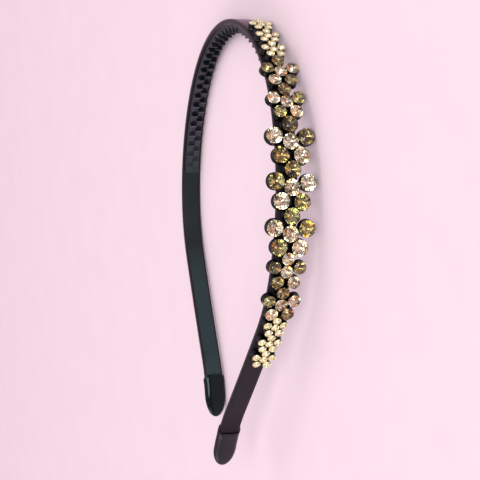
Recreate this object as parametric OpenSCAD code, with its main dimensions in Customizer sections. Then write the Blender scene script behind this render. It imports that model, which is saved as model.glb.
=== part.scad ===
// A hoop headband with a row of crystal flowers down one side.
// It lies on its side: the crown points along +Y, the decorated leg is at +X,
// and the edge of the band that faces up is at +Z.
// Sizes are in millimetres. Lengths along the band run from the middle of the crown,
// positive down the decorated leg and negative down the plain one.

/* [Hoop] */
// Length and radius of the bend over half of the crown
crown_length = 50; // [45:0.5:55]
crown_radius = 50; // [46:0.5:55]
// Length and radius of the gentler bend beside the head
side_length = 49; // [44:0.5:54]
side_radius = 69; // [64:0.5:75]
// Length and radius of the bend that turns the leg in behind the ear
turn_length = 19; // [15:0.5:22]
turn_radius = 49; // [45:0.5:55]
// Length of the straight stretch of a leg
straight_length = 37; // [33:0.5:41]
// Length and radius of the outward flare at a leg's end
flare_length = 21; // [18:0.5:24]
flare_radius = 41; // [36:0.5:60]
// How far a tip stands out of the hoop's plane, up on one leg and down on the other
tip_rise = 5.8; // [0:0.1:8]

/* [Band] */
// Width of the band, edge to edge
band_width = 6.4; // [6:0.1:6.8]
// Thickness of the band
band_thickness = 1.8; // [1.4:0.1:2]
// How much the band's long edges are rounded off
band_edge = 0.45; // [0.2:0.05:0.6]

/* [Comb strip] */
// Length of the strip to each side of the middle of the crown
comb_reach = 87.6; // [70:0.2:95]
// Width of the strip
comb_width = 4.9; // [4.5:0.1:5.4]
// Thickness of the strip under its teeth
comb_base = 0.7; // [0.5:0.05:0.9]
// Height of the strip with its teeth
comb_height = 2.1; // [1.5:0.1:2.6]
// Height of the strip at the low end of a tooth
tooth_tail = 1.3; // [1:0.05:1.5]
// Distance from one tooth to the next in the same row
tooth_pitch = 4; // [3.5:0.1:5]
// Length of one tooth
tooth_length = 3.2; // [2.4:0.1:3.3]
// Width of one tooth
tooth_width = 2.1; // [1.6:0.1:2.2]
// Distance of the rows from the strip's middle line
tooth_row = 1.15; // [1.15:0.05:1.3]
// Stretch at each end of the strip over which the teeth grow lower
tooth_fade = 25; // [10:1:40]

/* [End caps] */
// Length of a cap on the inner face
cap_length = 15; // [13:0.5:18]
// How much shorter a cap is on the outer face
cap_slant = 3; // [0:0.5:4]
// Width and thickness of a cap
cap_width = 7.4; // [7.2:0.1:8]
cap_thickness = 3.2; // [3:0.1:3.6]
// Length of the rounded nose
nose_length = 6; // [5:0.5:7]
// Depth of the band's end below the tip of the cap
cap_bottom = 5; // [4.8:0.1:6]
// Room round the band at the cap's mouth
mouth_gap = 0.35; // [0.2:0.05:0.4]

/* [Flowers] */
// Radius of a big, a medium and a small stone
big_stone = 2.45; // [2.3:0.05:2.45]
medium_stone = 1.9; // [1.8:0.05:1.9]
small_stone = 1.18; // [1.1:0.02:1.18]
// Distance from the middle of a big, a medium and a small flower to its petals
big_petal = 5.25; // [5.25:0.05:5.4]
medium_petal = 4.1; // [4.1:0.05:4.2]
small_petal = 2.67; // [2.67:0.01:2.7]
// Height of the stones' girdles above the middle of the band
girdle_height = 3.2; // [3.1:0.1:3.6]
// How far the row of flowers hangs below the middle of the band
row_drop = 0.8; // [0:0.1:1]
// Sides of a cut stone
stone_sides = 12; // [8:1:12]

/* [Resting place] */
// Angles by which the hoop leans when it lies on a table, about X and then about Y
lean_x = -2.3; // [-3:0.05:3]
lean_y = -2.46; // [-3:0.01:3]
// Height of the crown's middle above the table, and its place seen from above
lift = 4.65; // [4:0.01:6]
crown_x = -1.62; // [-3:0.01:0]
crown_y = 68.72; // [66:0.01:72]

/* [Hidden] */
// Gap between pieces that sit on each other, and round a stone in its cup
gap = 0.06;
seat_gap = 0.04;

// The bends of one half of the hoop, from the crown to the tip: length, radius.
// A radius of 0 is straight, and a negative one bends outwards.
BENDS = [
    [crown_length, crown_radius],
    [side_length, side_radius],
    [turn_length, turn_radius],
    [straight_length, 0],
    [flare_length, -flare_radius],
];
half_length = crown_length + side_length + turn_length + straight_length + flare_length;
band_reach = half_length - cap_bottom;

// The flowers from the crown to the ear: place along the band, size, turn in degrees, stones.
// The stones are given as the middle one, the petal nearest the crown, and then the others
// on round over the upper edge: c is champagne and o is olive.
FLOWERS = [
    [14.2, "small", 0, "cccccc"],
    [21.2, "small", -3, "cccccc"],
    [27.8, "small", 0, "cccccc"],
    [36.6, "medium", 0, "coococ"],
    [46.7, "medium", 1, "cococo"],
    [58.6, "big", -2, "cococo"],
    [71.6, "big", -3, "coococ"],
    [84.6, "big", -2, "cococo"],
    [95.7, "medium", -1, "ccooco"],
    [105.8, "medium", 0, "coococ"],
    [113.7, "small", 0, "cccccc"],
    [120.4, "small", -2, "cccccc"],
    [127.3, "small", -4, "cccccc"],
];
// Angles of the petals, from the one nearest the crown
PETAL_ANGLES = [0, 72, 142, -142, -72];

// Proportions of a cut stone, as parts of its radius
table_part = 0.56;
crown_part = 0.3;
girdle_part = 0.1;
pavilion_part = 0.78;

// A cup: the wall of its rim round the stone, and the height of its rim above the girdle
rim_wall = 0.14;
rim_rise = 0.1;
// Gap between the settings of neighbouring flowers
nest_gap = 0.1;
// The web that joins the cups of one flower, as parts of a cup's radius and height
web_width = 0.9;
web_height = 0.45;

// Distance between the rings of points along the band and along the comb strip
ring_step = 3;

function numbered(i) = str("flower_", i < 9 ? "0" : "", i + 1);
function has(stones, kind) = len([for (s = stones) if (s == kind) s]) > 0;
function flower_nodes(i) = concat(
    [str(numbered(i), "_setting"), str(numbered(i), "_champagne_stones")],
    has(FLOWERS[i][3], "o") ? [str(numbered(i), "_olive_stones")] : []
);

// Where a bend of radius r that starts at p = [x, y, heading] has come after a length d.
// The heading is the angle by which the leg has turned down from the crown's level.
function along_bend(p, d, r) =
    r == 0
    ? [p[0] + d * cos(p[2]), p[1] - d * sin(p[2]), p[2]]
    : let (a = p[2] + d / r * 180 / PI)
      [p[0] + r * (sin(a) - sin(p[2])), p[1] + r * (cos(a) - cos(p[2])), a];

// Place and heading on the middle line of one leg, at a length d from the crown
function on_leg(d, i = 0, p = [0, 0, 0]) =
    i == len(BENDS) - 1 || d <= BENDS[i][0]
    ? along_bend(p, d, BENDS[i][1])
    : on_leg(d - BENDS[i][0], i + 1, along_bend(p, BENDS[i][0], BENDS[i][1]));

function heading(s) = sign(s) * on_leg(abs(s))[2];
function rise(s) = sign(s) * tip_rise * pow(s / half_length, 2);

// The point at the length s along the band, up towards its upper edge and out from its middle
function at(s, up, out) =
    let (p = on_leg(abs(s)), side = s < 0 ? -1 : 1)
    [side * (p[0] + out * sin(p[2])), p[1] + out * cos(p[2]), up + rise(s)];

// A rectangle with its corners cut off, as [up, out] points
function cut_rectangle(width, thickness, cut) =
    let (w = width / 2, t = thickness / 2)
    [[w - cut, t], [w, t - cut], [w, cut - t], [w - cut, -t],
     [cut - w, -t], [-w, cut - t], [-w, t - cut], [cut - w, t]];

// A rectangle with half-round ends, as [up, out] points
function round_ended(width, thickness) =
    let (w = (width - thickness) / 2, r = thickness / 2)
    [for (i = [0:5]) [w + r * sin(i * 36), r * cos(i * 36)],
     for (i = [0:5]) [-w - r * sin(i * 36), -r * cos(i * 36)]];

// A closed solid over rings of points, each with the same number of points
module skin(rings) {
    n = len(rings[0]);
    last = (len(rings) - 1) * n;
    polyhedron(
        points = [for (ring = rings) each ring],
        faces = concat(
            [[for (j = [0:n - 1]) j]],
            [[for (j = [n - 1:-1:0]) last + j]],
            [for (i = [0:n:last - n]) for (j = [0:n - 1])
                let (k = (j + 1) % n)
                [i + j, i + n + j, i + n + k, i + k]]
        ),
        convexity = 6
    );
}

// A strip along the band between two lengths, with one cross-section all the way
module strip(start, end, section) {
    steps = ceil((end - start) / ring_step);
    skin([for (i = [0:steps])
        let (s = start + (end - start) * i / steps)
        [for (p = section) at(s, p[0], p[1])]]);
}

// The whole headband as it lies
module laid() {
    translate([crown_x, crown_y, lift]) rotate([lean_x, lean_y, 0]) children();
}

module band() {
    color("#2b262d")
    laid() strip(-band_reach, band_reach, cut_rectangle(band_width, band_thickness, band_edge));
}

// Inner face of the band and the comb strip's base, out from the middle of the band
comb_out = -band_thickness / 2 - gap;

// Height of a tooth's tip at the length s from the crown, lower towards the strip's end
function tip_height(s) =
    comb_base + (comb_height - comb_base) * min(1, (comb_reach - s) / tooth_fade + 0.2);

// One tooth from the length start to end: steep towards the crown, with a long low back
module tooth(row, start, end, side) {
    tip = comb_out + gap - tip_height(start);
    tail = max(tip, comb_out + gap - tooth_tail);
    root = comb_out - comb_base / 2;
    low = row * tooth_row - tooth_width / 2;
    high = low + tooth_width;
    ends = side > 0 ? [[start, tip], [end, tail]] : [[-end, tail], [-start, tip]];
    skin([for (e = ends)
        [at(e[0], high, root), at(e[0], high, e[1]), at(e[0], low, e[1]), at(e[0], low, root)]]);
}

module comb_strip() {
    base = [[comb_width / 2, comb_out], [comb_width / 2, comb_out - comb_base],
            [-comb_width / 2, comb_out - comb_base], [-comb_width / 2, comb_out]];
    pit = tooth_pitch - tooth_length;
    color("#3a3740")
    laid() {
        strip(-comb_reach, comb_reach, base);
        for (side = [-1, 1])
        for (row = [-1, 1])
        for (start = [(row > 0 ? 0 : tooth_pitch / 2) + pit:tooth_pitch:comb_reach - tooth_length / 2])
            tooth(row, start, min(start + tooth_length, comb_reach), side);
    }
}

// Size of the cap at a distance from its tip, from 0 at the tip to 1 above the nose
function nose(d) = d >= nose_length ? 1 : sqrt(1 - pow(1 - d / nose_length, 2));

// A ring of the cap at a distance d from its tip, slanted towards the outer face
function cap_ring(section, d, slant, side) =
    [for (p = section)
        at(side * (half_length - d + slant * (0.5 + p[1] / cap_thickness)), p[0], p[1])];

module end_cap(side) {
    outer = round_ended(cap_width, cap_thickness);
    mouth = cut_rectangle(band_width + 2 * mouth_gap, band_thickness + 2 * mouth_gap, band_edge);
    pocket = cut_rectangle(band_width + 2 * gap, band_thickness + 2 * gap, band_edge);
    nose_steps = 7;
    body = [for (i = [0:4])
        let (k = i / 4)
        cap_ring(outer, cap_length + (nose_length - cap_length) * k, cap_slant * (1 - k), side)];
    tip = [for (i = [1:nose_steps])
        let (d = nose_length * (1 - sin(i * 88 / nose_steps)))
        cap_ring(outer * nose(d), d, 0, side)];
    throat = cap_length - 3;
    bottom = cap_bottom - gap;
    hollow = concat(
        [cap_ring(mouth, cap_length + 1, cap_slant, side),
         cap_ring(mouth, cap_length - 1, cap_slant, side)],
        [for (k = [0:0.25:1])
            cap_ring(pocket, throat + (bottom - throat) * k, cap_slant * (1 - k) / 2, side)]
    );
    color("#1d1c20")
    laid() difference() {
        skin(side > 0 ? concat(body, tip) : reversed(concat(body, tip)));
        skin(side > 0 ? hollow : reversed(hollow));
    }
}

function reversed(list) = [for (i = [len(list) - 1:-1:0]) list[i]];

module decorated_end_cap() { end_cap(1); }
module plain_end_cap() { end_cap(-1); }

function stone_radius(size) =
    size == "big" ? big_stone : size == "medium" ? medium_stone : small_stone;
function petal_distance(size) =
    size == "big" ? big_petal : size == "medium" ? medium_petal : small_petal;

// Carries its children to a flower's place on the band, with their +Z outwards
module on_band(flower) {
    s = flower[0];
    laid() translate(at(s, -row_drop, 0))
        rotate([0, 0, -heading(s)]) rotate([-90, 0, 0]) rotate([0, 0, flower[2]]) children();
}

// Carries its children to the place of the stone with this number: 0 is the middle one
module at_stone(flower, number) {
    if (number == 0) children();
    else rotate([0, 0, PETAL_ANGLES[number - 1]])
        translate([-petal_distance(flower[1]), 0, 0]) children();
}

// A cut stone about its girdle: pointed pavilion, girdle, crown facets and table
module stone(r) {
    n = stone_sides;
    g = girdle_part * r / 2;
    levels = [[r, -g], [r, g], [table_part * r, g + crown_part * r]];
    polyhedron(
        points = concat(
            [for (level = levels) for (j = [0:n - 1])
                [level[0] * cos(j * 360 / n), level[0] * sin(j * 360 / n), level[1]]],
            [[0, 0, -g - pavilion_part * r]]
        ),
        faces = concat(
            [[for (j = [n - 1:-1:0]) 2 * n + j]],
            [for (i = [0, n]) for (j = [0:n - 1])
                let (k = (j + 1) % n) [i + j, i + n + j, i + n + k, i + k]],
            [for (j = [0:n - 1]) [j, (j + 1) % n, 3 * n]]
        )
    );
}

// The outside of one cup, from the band to the rim
module cup(r) {
    foot = band_thickness / 2 + gap;
    translate([0, 0, foot])
        cylinder(h = girdle_height + rim_rise - foot, r = r + rim_wall, $fn = 48);
}

// The room for a stone in its cup, with a seat that follows the pavilion
module seat(r) {
    low = -girdle_part * r / 2 - seat_gap;
    wide = r + seat_gap;
    translate([0, 0, girdle_height]) rotate_extrude($fn = 48)
        polygon([[0, low - pavilion_part * r], [wide, low], [wide, 1], [0, 1]]);
}

// The six cups of one flower, joined by a low web
module cups(flower) {
    r = stone_radius(flower[1]);
    reach = petal_distance(flower[1]);
    difference() {
        union() {
            for (i = [0:5]) at_stone(flower, i) cup(r);
            for (a = PETAL_ANGLES) rotate([0, 0, a])
                translate([-reach, -web_width * r / 2, band_thickness / 2 + gap])
                    cube([reach, web_width * r, web_height * (girdle_height - band_thickness / 2)]);
        }
        for (i = [0:5]) at_stone(flower, i) seat(r);
    }
}

// A flower's setting, cut back where the next flower's foremost petal nests in it
module setting(i) {
    color("#17171a")
    difference() {
        on_band(FLOWERS[i]) cups(FLOWERS[i]);
        if (i < len(FLOWERS) - 1) on_band(FLOWERS[i + 1]) at_stone(FLOWERS[i + 1], 1)
            cylinder(h = 2 * girdle_height,
                r = stone_radius(FLOWERS[i + 1][1]) + rim_wall + nest_gap, $fn = 48);
    }
}

module stones(flower, kind, tint) {
    color(tint)
    on_band(flower)
        for (i = [0:5]) if (flower[3][i] == kind)
            at_stone(flower, i) translate([0, 0, girdle_height]) stone(stone_radius(flower[1]));
}

band();
comb_strip();
decorated_end_cap();
plain_end_cap();
for (i = [0:len(FLOWERS) - 1]) {
    setting(i);
    stones(FLOWERS[i], "c", "#efe0bd");
    stones(FLOWERS[i], "o", "#8a7a35");
}
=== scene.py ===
"""Dresses the packed crystal headband: satin band, comb strip, end caps, flower cups and cut stones.

The hoop lies on its side. The crown points along +Y, the leg with the flowers is at +X and +Z is up.
Lengths in the script are in metres. Lengths along the band run from the middle of the crown,
positive down the decorated leg and negative down the plain one.
"""

import math
import random
from functools import partial

import bmesh
import bpy
from bpy.props import FloatProperty, FloatVectorProperty, IntProperty, PointerProperty
from mathutils import Euler, Matrix, Vector


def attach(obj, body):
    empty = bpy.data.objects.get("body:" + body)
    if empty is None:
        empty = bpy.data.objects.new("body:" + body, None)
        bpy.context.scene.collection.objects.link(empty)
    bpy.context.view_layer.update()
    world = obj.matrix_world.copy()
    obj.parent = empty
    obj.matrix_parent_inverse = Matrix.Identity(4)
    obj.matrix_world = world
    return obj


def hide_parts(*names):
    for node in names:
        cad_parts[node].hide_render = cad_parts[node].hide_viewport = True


bl_info = {
    "name": "Crystal headband",
    "version": (1, 0, 0),
    "blender": (4, 5, 0),
    "location": "3D View > Sidebar > Headband",
    "description": "Dresses a packed crystal headband with its satin, plastic and cut stones",
    "category": "Object",
}

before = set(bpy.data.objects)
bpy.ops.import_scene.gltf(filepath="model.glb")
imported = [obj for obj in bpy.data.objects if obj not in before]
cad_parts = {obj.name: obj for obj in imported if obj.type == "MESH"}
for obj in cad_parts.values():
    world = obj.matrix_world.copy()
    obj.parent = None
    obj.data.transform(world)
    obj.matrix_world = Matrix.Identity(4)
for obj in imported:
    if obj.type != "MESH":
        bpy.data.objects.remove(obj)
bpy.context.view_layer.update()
MM = 0.001

# The flowers from the crown to the ear: place along the band in mm, size, turn in degrees, stones.
# The stones are the middle one, the petal nearest the crown, and then the others on round over
# the upper edge: c is champagne and o is olive.
FLOWERS = [
    (14.2, "small", 0, "cccccc"),
    (21.2, "small", -3, "cccccc"),
    (27.8, "small", 0, "cccccc"),
    (36.6, "medium", 0, "coococ"),
    (46.7, "medium", 1, "cococo"),
    (58.6, "big", -2, "cococo"),
    (71.6, "big", -3, "coococ"),
    (84.6, "big", -2, "cococo"),
    (95.7, "medium", -1, "ccooco"),
    (105.8, "medium", 0, "coococ"),
    (113.7, "small", 0, "cccccc"),
    (120.4, "small", -2, "cccccc"),
    (127.3, "small", -4, "cccccc"),
]
# Where a size stands in the lists of a flower's measures.
SIZES = {"small": 0, "medium": 1, "big": 2}
PETAL_ANGLES = (0, 72, 142, -142, -72)
STONE_KINDS = {"c": "champagne", "o": "olive"}
# The flashes of a facet, painted fire and painted reflections: where each starts between 0 and 1, and its
# part of the foil's colour.
CHAMPAGNE_FLASHES = (
    (0.0, (0.6, 0.8, 1.0)),
    (0.05, (0.32, 0.29, 0.24)),
    (0.26, (1.0, 1.0, 0.95)),
    (0.68, (1.0, 0.95, 0.8)),
    (0.82, (0.82, 0.86, 0.8)),
    (0.9, (1.0, 0.6, 0.3)),
)
OLIVE_FLASHES = (
    (0.0, (0.06, 0.04, 0.02)),
    (0.22, (0.5, 0.6, 0.6)),
    (0.38, (0.76, 0.75, 0.62)),
    (0.68, (0.32, 0.24, 0.14)),
    (0.82, (0.95, 0.9, 0.7)),
    (0.96, (1.0, 0.55, 0.2)),
)
# Distance between the points of a strip along the hoop.
HOOP_STEP = 1.5 * MM
# Half the width of a tooth's top, as a part of the tooth's width.
TOOTH_TOP = 0.48
# Nearly all the values of a noise texture lie between these two.
MOST_NOISE = (0.3, 0.7)


# Sizes and colours


def srgb(code):
    """An sRGB hex colour such as "#2e2430" as linear red, green, blue and alpha."""
    linear = []
    for start in (1, 3, 5):
        channel = int(code[start : start + 2], 16) / 255
        linear.append(channel / 12.92 if channel <= 0.04045 else ((channel + 0.055) / 1.055) ** 2.4)
    return (*linear, 1.0)


def length(name, description, millimetres):
    """A property that holds a length, given here in millimetres."""
    return FloatProperty(
        name=name, description=description, default=millimetres * MM, unit="LENGTH", precision=5
    )


def lengths(name, description, millimetres, subtype="NONE"):
    """A property that holds several lengths, given here in millimetres."""
    return FloatVectorProperty(
        name=name,
        description=description,
        default=[value * MM for value in millimetres],
        size=len(millimetres),
        subtype=subtype,
        unit="LENGTH",
    )


def tilt(name, description, degrees):
    """A property that holds an angle, given here in degrees."""
    return FloatProperty(
        name=name, description=description, default=math.radians(degrees), unit="ROTATION"
    )


def colour(name, description, code):
    """A property that holds a colour, given here as sRGB hex."""
    return FloatVectorProperty(
        name=name, description=description, default=srgb(code), size=4, min=0, max=1, subtype="COLOR"
    )


def share(name, description, default):
    """A property that holds a part of a whole, such as a roughness."""
    return FloatProperty(
        name=name, description=description, default=default, min=0, max=1, subtype="FACTOR"
    )


def power(name, description, watts):
    """A property that holds the power of a light."""
    return FloatProperty(name=name, description=description, default=watts, unit="POWER")


class HoopShape(bpy.types.PropertyGroup):
    """The middle line of the band, and how the hoop lies"""

    bend_lengths: lengths(
        "Bend lengths", "Lengths of the bends of one half, from crown to tip", (50, 49, 19, 37, 21)
    )
    bend_radii: lengths(
        "Bend radii",
        "Radii of these bends: 0 is straight, and a negative one flares outwards",
        (50, 69, 49, 0, -41),
    )
    tip_rise: length("Tip rise", "How far a tip stands out of the hoop's plane", 5.8)
    lean_x: tilt("Lean about X", "Angle by which the hoop leans about X where it lies", -2.3)
    lean_y: tilt("Lean about Y", "Angle by which the hoop leans about Y where it lies", -2.46)
    crown: lengths("Crown", "Place of the crown's middle", (-1.62, 68.72, 4.65), "TRANSLATION")


class BandLooks(bpy.types.PropertyGroup):
    """The ribbon-covered band"""

    width: length("Width", "Width of the band, edge to edge", 6.4)
    thickness: length("Thickness", "Thickness of the band", 1.8)
    edge: length("Edge", "Radius of the band's rounded edges", 0.45)
    cap_depth: length("Cap depth", "How far a band's end stops short of the cap's tip", 5)
    seam_inset: length("Seam inset", "Distance of the ribbon's seam from the edge", 0.6)
    seam_depth: length("Seam depth", "Depth of the ribbon's seam", 0.07)
    # The two faces' colours are the black ribbon with a painted reflection: warm on the outer face, cool
    # on the inner one.
    outer: colour("Outer ribbon", "Colour of the ribbon on the outer face", "#120a13")
    inner: colour("Inner ribbon", "Colour of the ribbon on the inner face", "#1e3032")
    roughness: share("Roughness", "Roughness of the satin", 0.46)


class CombLooks(bpy.types.PropertyGroup):
    """The comb strip along the inside of the crown"""

    reach: length("Reach", "Length of the strip to each side of the crown", 87.6)
    width: length("Width", "Width of the strip", 4.9)
    base: length("Base", "Thickness of the strip under its teeth", 0.7)
    gap: length("Gap", "Glue line between the strip and the band", 0.06)
    tooth_pitch: length("Tooth pitch", "Distance between teeth in one row", 4)
    tooth_length: length("Tooth length", "Length of one tooth", 3.2)
    tooth_width: length("Tooth width", "Width of one tooth", 2.05)
    tooth_row: length("Tooth row", "Distance of a row from the strip's middle", 1.05)
    tip: length("Tip", "Height of a tooth's tip above the strip", 1.75)
    tail: length("Tail", "Height from which a tooth's back runs down to its low end", 0.6)
    fade: length("Fade", "Stretch at each end over which the teeth grow lower", 25)
    pit_place: length("Pit place", "Middle of the dark pit, from a tooth's steep face", 3.35)
    pit_length: length("Pit length", "Half the length of a dark pit", 1.1)
    # The plastic's colour is brightened on the tips as a painted highlight, the ends' colour is a cooler
    # painted reflection, and the pits' colour is painted shade.
    plastic: colour("Plastic", "Colour of the comb's worn tips and margins", "#403b46")
    ends: colour("Ends", "Colour of the less handled plastic at the strip's ends", "#2b3438")
    pit: colour("Pits", "Colour of the comb's plastic down between the teeth", "#0a1116")
    roughness: share("Roughness", "Roughness of the moulded plastic", 0.5)


class CapLooks(bpy.types.PropertyGroup):
    """The dipped caps on the ends of the band"""

    length: length("Length", "Length of a cap on its inner face", 15)
    slant: length("Slant", "How much shorter a cap is on its outer face", 3)
    width: length("Width", "Width of a cap", 7.4)
    thickness: length("Thickness", "Thickness of a cap", 3.2)
    nose: length("Nose", "Length of the decorated leg's rounded nose", 6)
    plain_nose: length("Plain nose", "Length of the plain leg's slimmer nose", 7.8)
    dome: length("Dome", "How much thinner a cap grows towards its edges", 1.1)
    mouth: length("Mouth", "Room round the band at the cap's mouth", 0.35)
    lip: length("Lip", "Radius of the rounded lip", 0.3)
    # Both caps are the same vinyl: their different colours are painted reflection.
    decorated: colour("Decorated leg's cap", "Colour of the cap near the flowers", "#1a141c")
    plain: colour("Plain leg's cap", "Colour of the cap on the plain leg", "#020607")


class FlowerShape(bpy.types.PropertyGroup):
    """The flowers' cups and stones"""

    stones: lengths("Stones", "Radius of a small, medium and big flower's stones", (1.25, 1.94, 2.49))
    cups: lengths("Cups", "Radius of their cups' walls", (1.3, 2.01, 2.56))
    petals: lengths("Petals", "Distance of their petals from the middle", (2.67, 4.1, 5.25))
    girdle: length("Girdle", "Height of the girdles above the band's middle", 3.2)
    drop: length("Drop", "How far the row hangs below the band's middle line", 0.8)
    foot: length("Foot", "Height of the cups' feet above the band's middle", 0.96)
    flare: length("Flare", "How much wider than its wall a cup's foot is", 0.13)
    acrylic: colour("Acrylic", "Colour of the cups", "#060607")


class StoneLooks(bpy.types.PropertyGroup):
    """Proportions of a cut stone, as parts of its radius, and its colours"""

    table: share("Table", "Radius of the flat top facet", 0.56)
    crown: share("Crown", "Height of the crown above the girdle", 0.3)
    girdle: share("Girdle", "Height of the girdle", 0.1)
    pavilion: share("Pavilion", "Depth of the pointed back", 0.78)
    seed: IntProperty(name="Seed", description="Seed of the stones' turns and flashes", default=7)
    small_least: share("Least flash", "Least flash of a facet in a small, plainer stone", 0.27)
    small_most: share("Most flash", "Most flash of a facet in a small, plainer stone", 0.82)
    champagne: colour("Champagne", "Tint of the champagne glass", "#fffdf6")
    champagne_foil: colour("Champagne foil", "Foil behind the champagne stones", "#f7f2e5")
    # Painted light: the small champagne stones get a brighter copy of the same foil.
    small_foil: colour("Small stones' foil", "Brighter foil behind the small stones", "#fffce2")
    olive: colour("Olive", "Tint of the olive glass", "#efe8c9")
    olive_foil: colour("Olive foil", "Foil behind the olive stones", "#f3efcb")


class StageLooks(bpy.types.PropertyGroup):
    """Floor, light and camera"""

    floor: colour("Floor", "Colour of the floor", "#f8e3ec")
    backdrop: colour("Surroundings", "Colour of the light from all round", "#f4e4ec")
    backdrop_strength: share("Strength", "Strength of the light from all round", 0.52)
    key_power: power("Key light", "Power of the light from the front", 34)
    fill_power: power("Fill light", "Power of the light from the side", 8)
    top_power: power("Top light", "Power of the large light overhead", 10)
    azimuth: tilt("Azimuth", "Camera's direction round the headband, from +X", 14.89)
    elevation: tilt("Elevation", "Camera's height as an angle above the floor", 20.27)
    roll: tilt("Roll", "Turn of the camera about its line of sight", -94.05)
    distance: length("Distance", "Distance of the camera from its target", 501.6)
    target: lengths("Target", "Point in the middle of the picture", (1.95, -1.09, 5.67), "TRANSLATION")
    lens: FloatProperty(name="Lens", description="Focal length", default=116.02, unit="CAMERA")


# The hoop's own line


def along_bend(place, run, radius):
    """Where a bend of this radius that starts at place (x, y, turned) comes after a run."""
    x, y, turned = place
    if radius == 0:
        return x + run * math.cos(turned), y - run * math.sin(turned), turned
    now = turned + run / radius
    across, down = math.sin(now) - math.sin(turned), math.cos(now) - math.cos(turned)
    return x + radius * across, y + radius * down, now


def on_leg(run):
    """Place on the middle line of one leg and how far it has turned down, at a run from the crown."""
    hoop = bpy.context.scene.headband_hoop
    place = (0.0, 0.0, 0.0)
    bends = list(zip(hoop.bend_lengths, hoop.bend_radii))
    for bend_length, radius in bends[:-1]:
        if run <= bend_length:
            return along_bend(place, run, radius)
        place = along_bend(place, bend_length, radius)
        run -= bend_length
    return along_bend(place, run, bends[-1][1])


def at(run, up=0.0, out=0.0):
    """The point at a run along the band, up towards its upper edge and out from its middle."""
    hoop = bpy.context.scene.headband_hoop
    side = -1 if run < 0 else 1
    x, y, turned = on_leg(abs(run))
    rise = side * hoop.tip_rise * (run / sum(hoop.bend_lengths)) ** 2
    return Vector((side * (x + out * math.sin(turned)), y + out * math.cos(turned), up + rise))


def laid():
    """The matrix that lays the upright hoop down as it rests."""
    hoop = bpy.context.scene.headband_hoop
    return (
        Matrix.Translation(hoop.crown)
        @ Matrix.Rotation(hoop.lean_y, 4, "Y")
        @ Matrix.Rotation(hoop.lean_x, 4, "X")
    )


def rotation(degrees, axis):
    """The matrix of a turn about an axis."""
    return Matrix.Rotation(math.radians(degrees), 4, axis)


def flower_matrix(flower):
    """The place of a flower on the band, with +Z outwards and +X towards the leg's tip."""
    place, _, turn, _ = flower
    run = place * MM
    return (
        laid()
        @ Matrix.Translation(at(run, -bpy.context.scene.headband_flower.drop))
        @ Matrix.Rotation(-on_leg(run)[2], 4, "Z")
        @ rotation(-90, "X")
        @ rotation(turn, "Z")
    )


def stone_places(flower):
    """The matrices of a flower's six stones, the middle one first, at the band's middle."""
    _, size, _, _ = flower
    reach = bpy.context.scene.headband_flower.petals[SIZES[size]]
    middle = flower_matrix(flower)
    outwards = Matrix.Translation((-reach, 0, 0))
    return [middle] + [middle @ rotation(angle, "Z") @ outwards for angle in PETAL_ANGLES]


# Meshes


def mesh_of(name, points, faces=()):
    """A mesh from points and faces."""
    mesh = bpy.data.meshes.new(name)
    mesh.from_pydata([tuple(point) for point in points], [], faces)
    mesh.update()
    return mesh


def skin(name, rings, rounding=0.0):
    """A closed mesh over rings of as many points each. Its edges above Z 0 can be rounded."""
    count = len(rings[0])
    last = (len(rings) - 1) * count
    faces = [tuple(range(count))[::-1], tuple(range(last, last + count))]
    for low in range(0, last, count):
        high = low + count
        for turn in range(count):
            after = (turn + 1) % count
            faces.append((low + turn, low + after, high + after, high + turn))
    mesh = mesh_of(name, [point for ring in rings for point in ring], faces)
    shape = bmesh.new()
    shape.from_mesh(mesh)
    bmesh.ops.recalc_face_normals(shape, faces=shape.faces)
    if rounding:
        upper = [edge for edge in shape.edges if max(end.co.z for end in edge.verts) > 0]
        bmesh.ops.bevel(shape, geom=upper, offset=rounding, segments=2, profile=0.5, affect="EDGES")
    shape.to_mesh(mesh)
    shape.free()
    return mesh


def lathe(name, profile, sides):
    """A mesh turned about Z from a profile of (radius, height) points that begins and ends on Z."""
    points, faces = [(0, 0, profile[0][1])], []
    for radius, height in profile[1:-1]:
        for turn in range(sides):
            angle = 2 * math.pi * turn / sides
            points.append((radius * math.cos(angle), radius * math.sin(angle), height))
    points.append((0, 0, profile[-1][1]))
    last, top = 1 + (len(profile) - 3) * sides, len(points) - 1
    for turn in range(sides):
        after = (turn + 1) % sides
        faces.append((0, 1 + after, 1 + turn))
        for low in range(1, last, sides):
            high = low + sides
            faces.append((low + turn, low + after, high + after, high + turn))
        faces.append((last + turn, last + after, top))
    return mesh_of(name, points, faces)


def rounded_section(width, thickness, radius):
    """A rectangle with rounded corners as (up, out) points, with points along its long sides."""
    points, steps = [], 6
    wide, deep = width / 2 - radius, thickness / 2 - radius
    for corner, (up, out) in enumerate(((wide, deep), (wide, -deep), (-wide, -deep), (-wide, deep))):
        for step in range(steps + 1):
            angle = math.radians(90 * (1 - corner) - 90 * step / steps)
            points.append((up + radius * math.cos(angle), out + radius * math.sin(angle)))
        if corner in (1, 3):
            level = points[-1][1]
            points += [(up * (1 - 2 * step / steps), level) for step in range(1, steps)]
    return points


def smooth(mesh, angle=35):
    """Shades a mesh smooth, and keeps edges sharper than the angle in degrees."""
    mesh.shade_smooth()
    mesh.set_sharp_from_angle(angle=math.radians(angle))
    return mesh


def piece(name, mesh, slot, *nodes):
    """Puts a finished mesh into the scene as a piece of the headband that stands for these nodes."""
    mesh.name = name
    made = bpy.data.objects.new(name, mesh)
    bpy.context.scene.collection.objects.link(made)
    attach(made, "root")
    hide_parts(*nodes)


# Node trees


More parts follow.
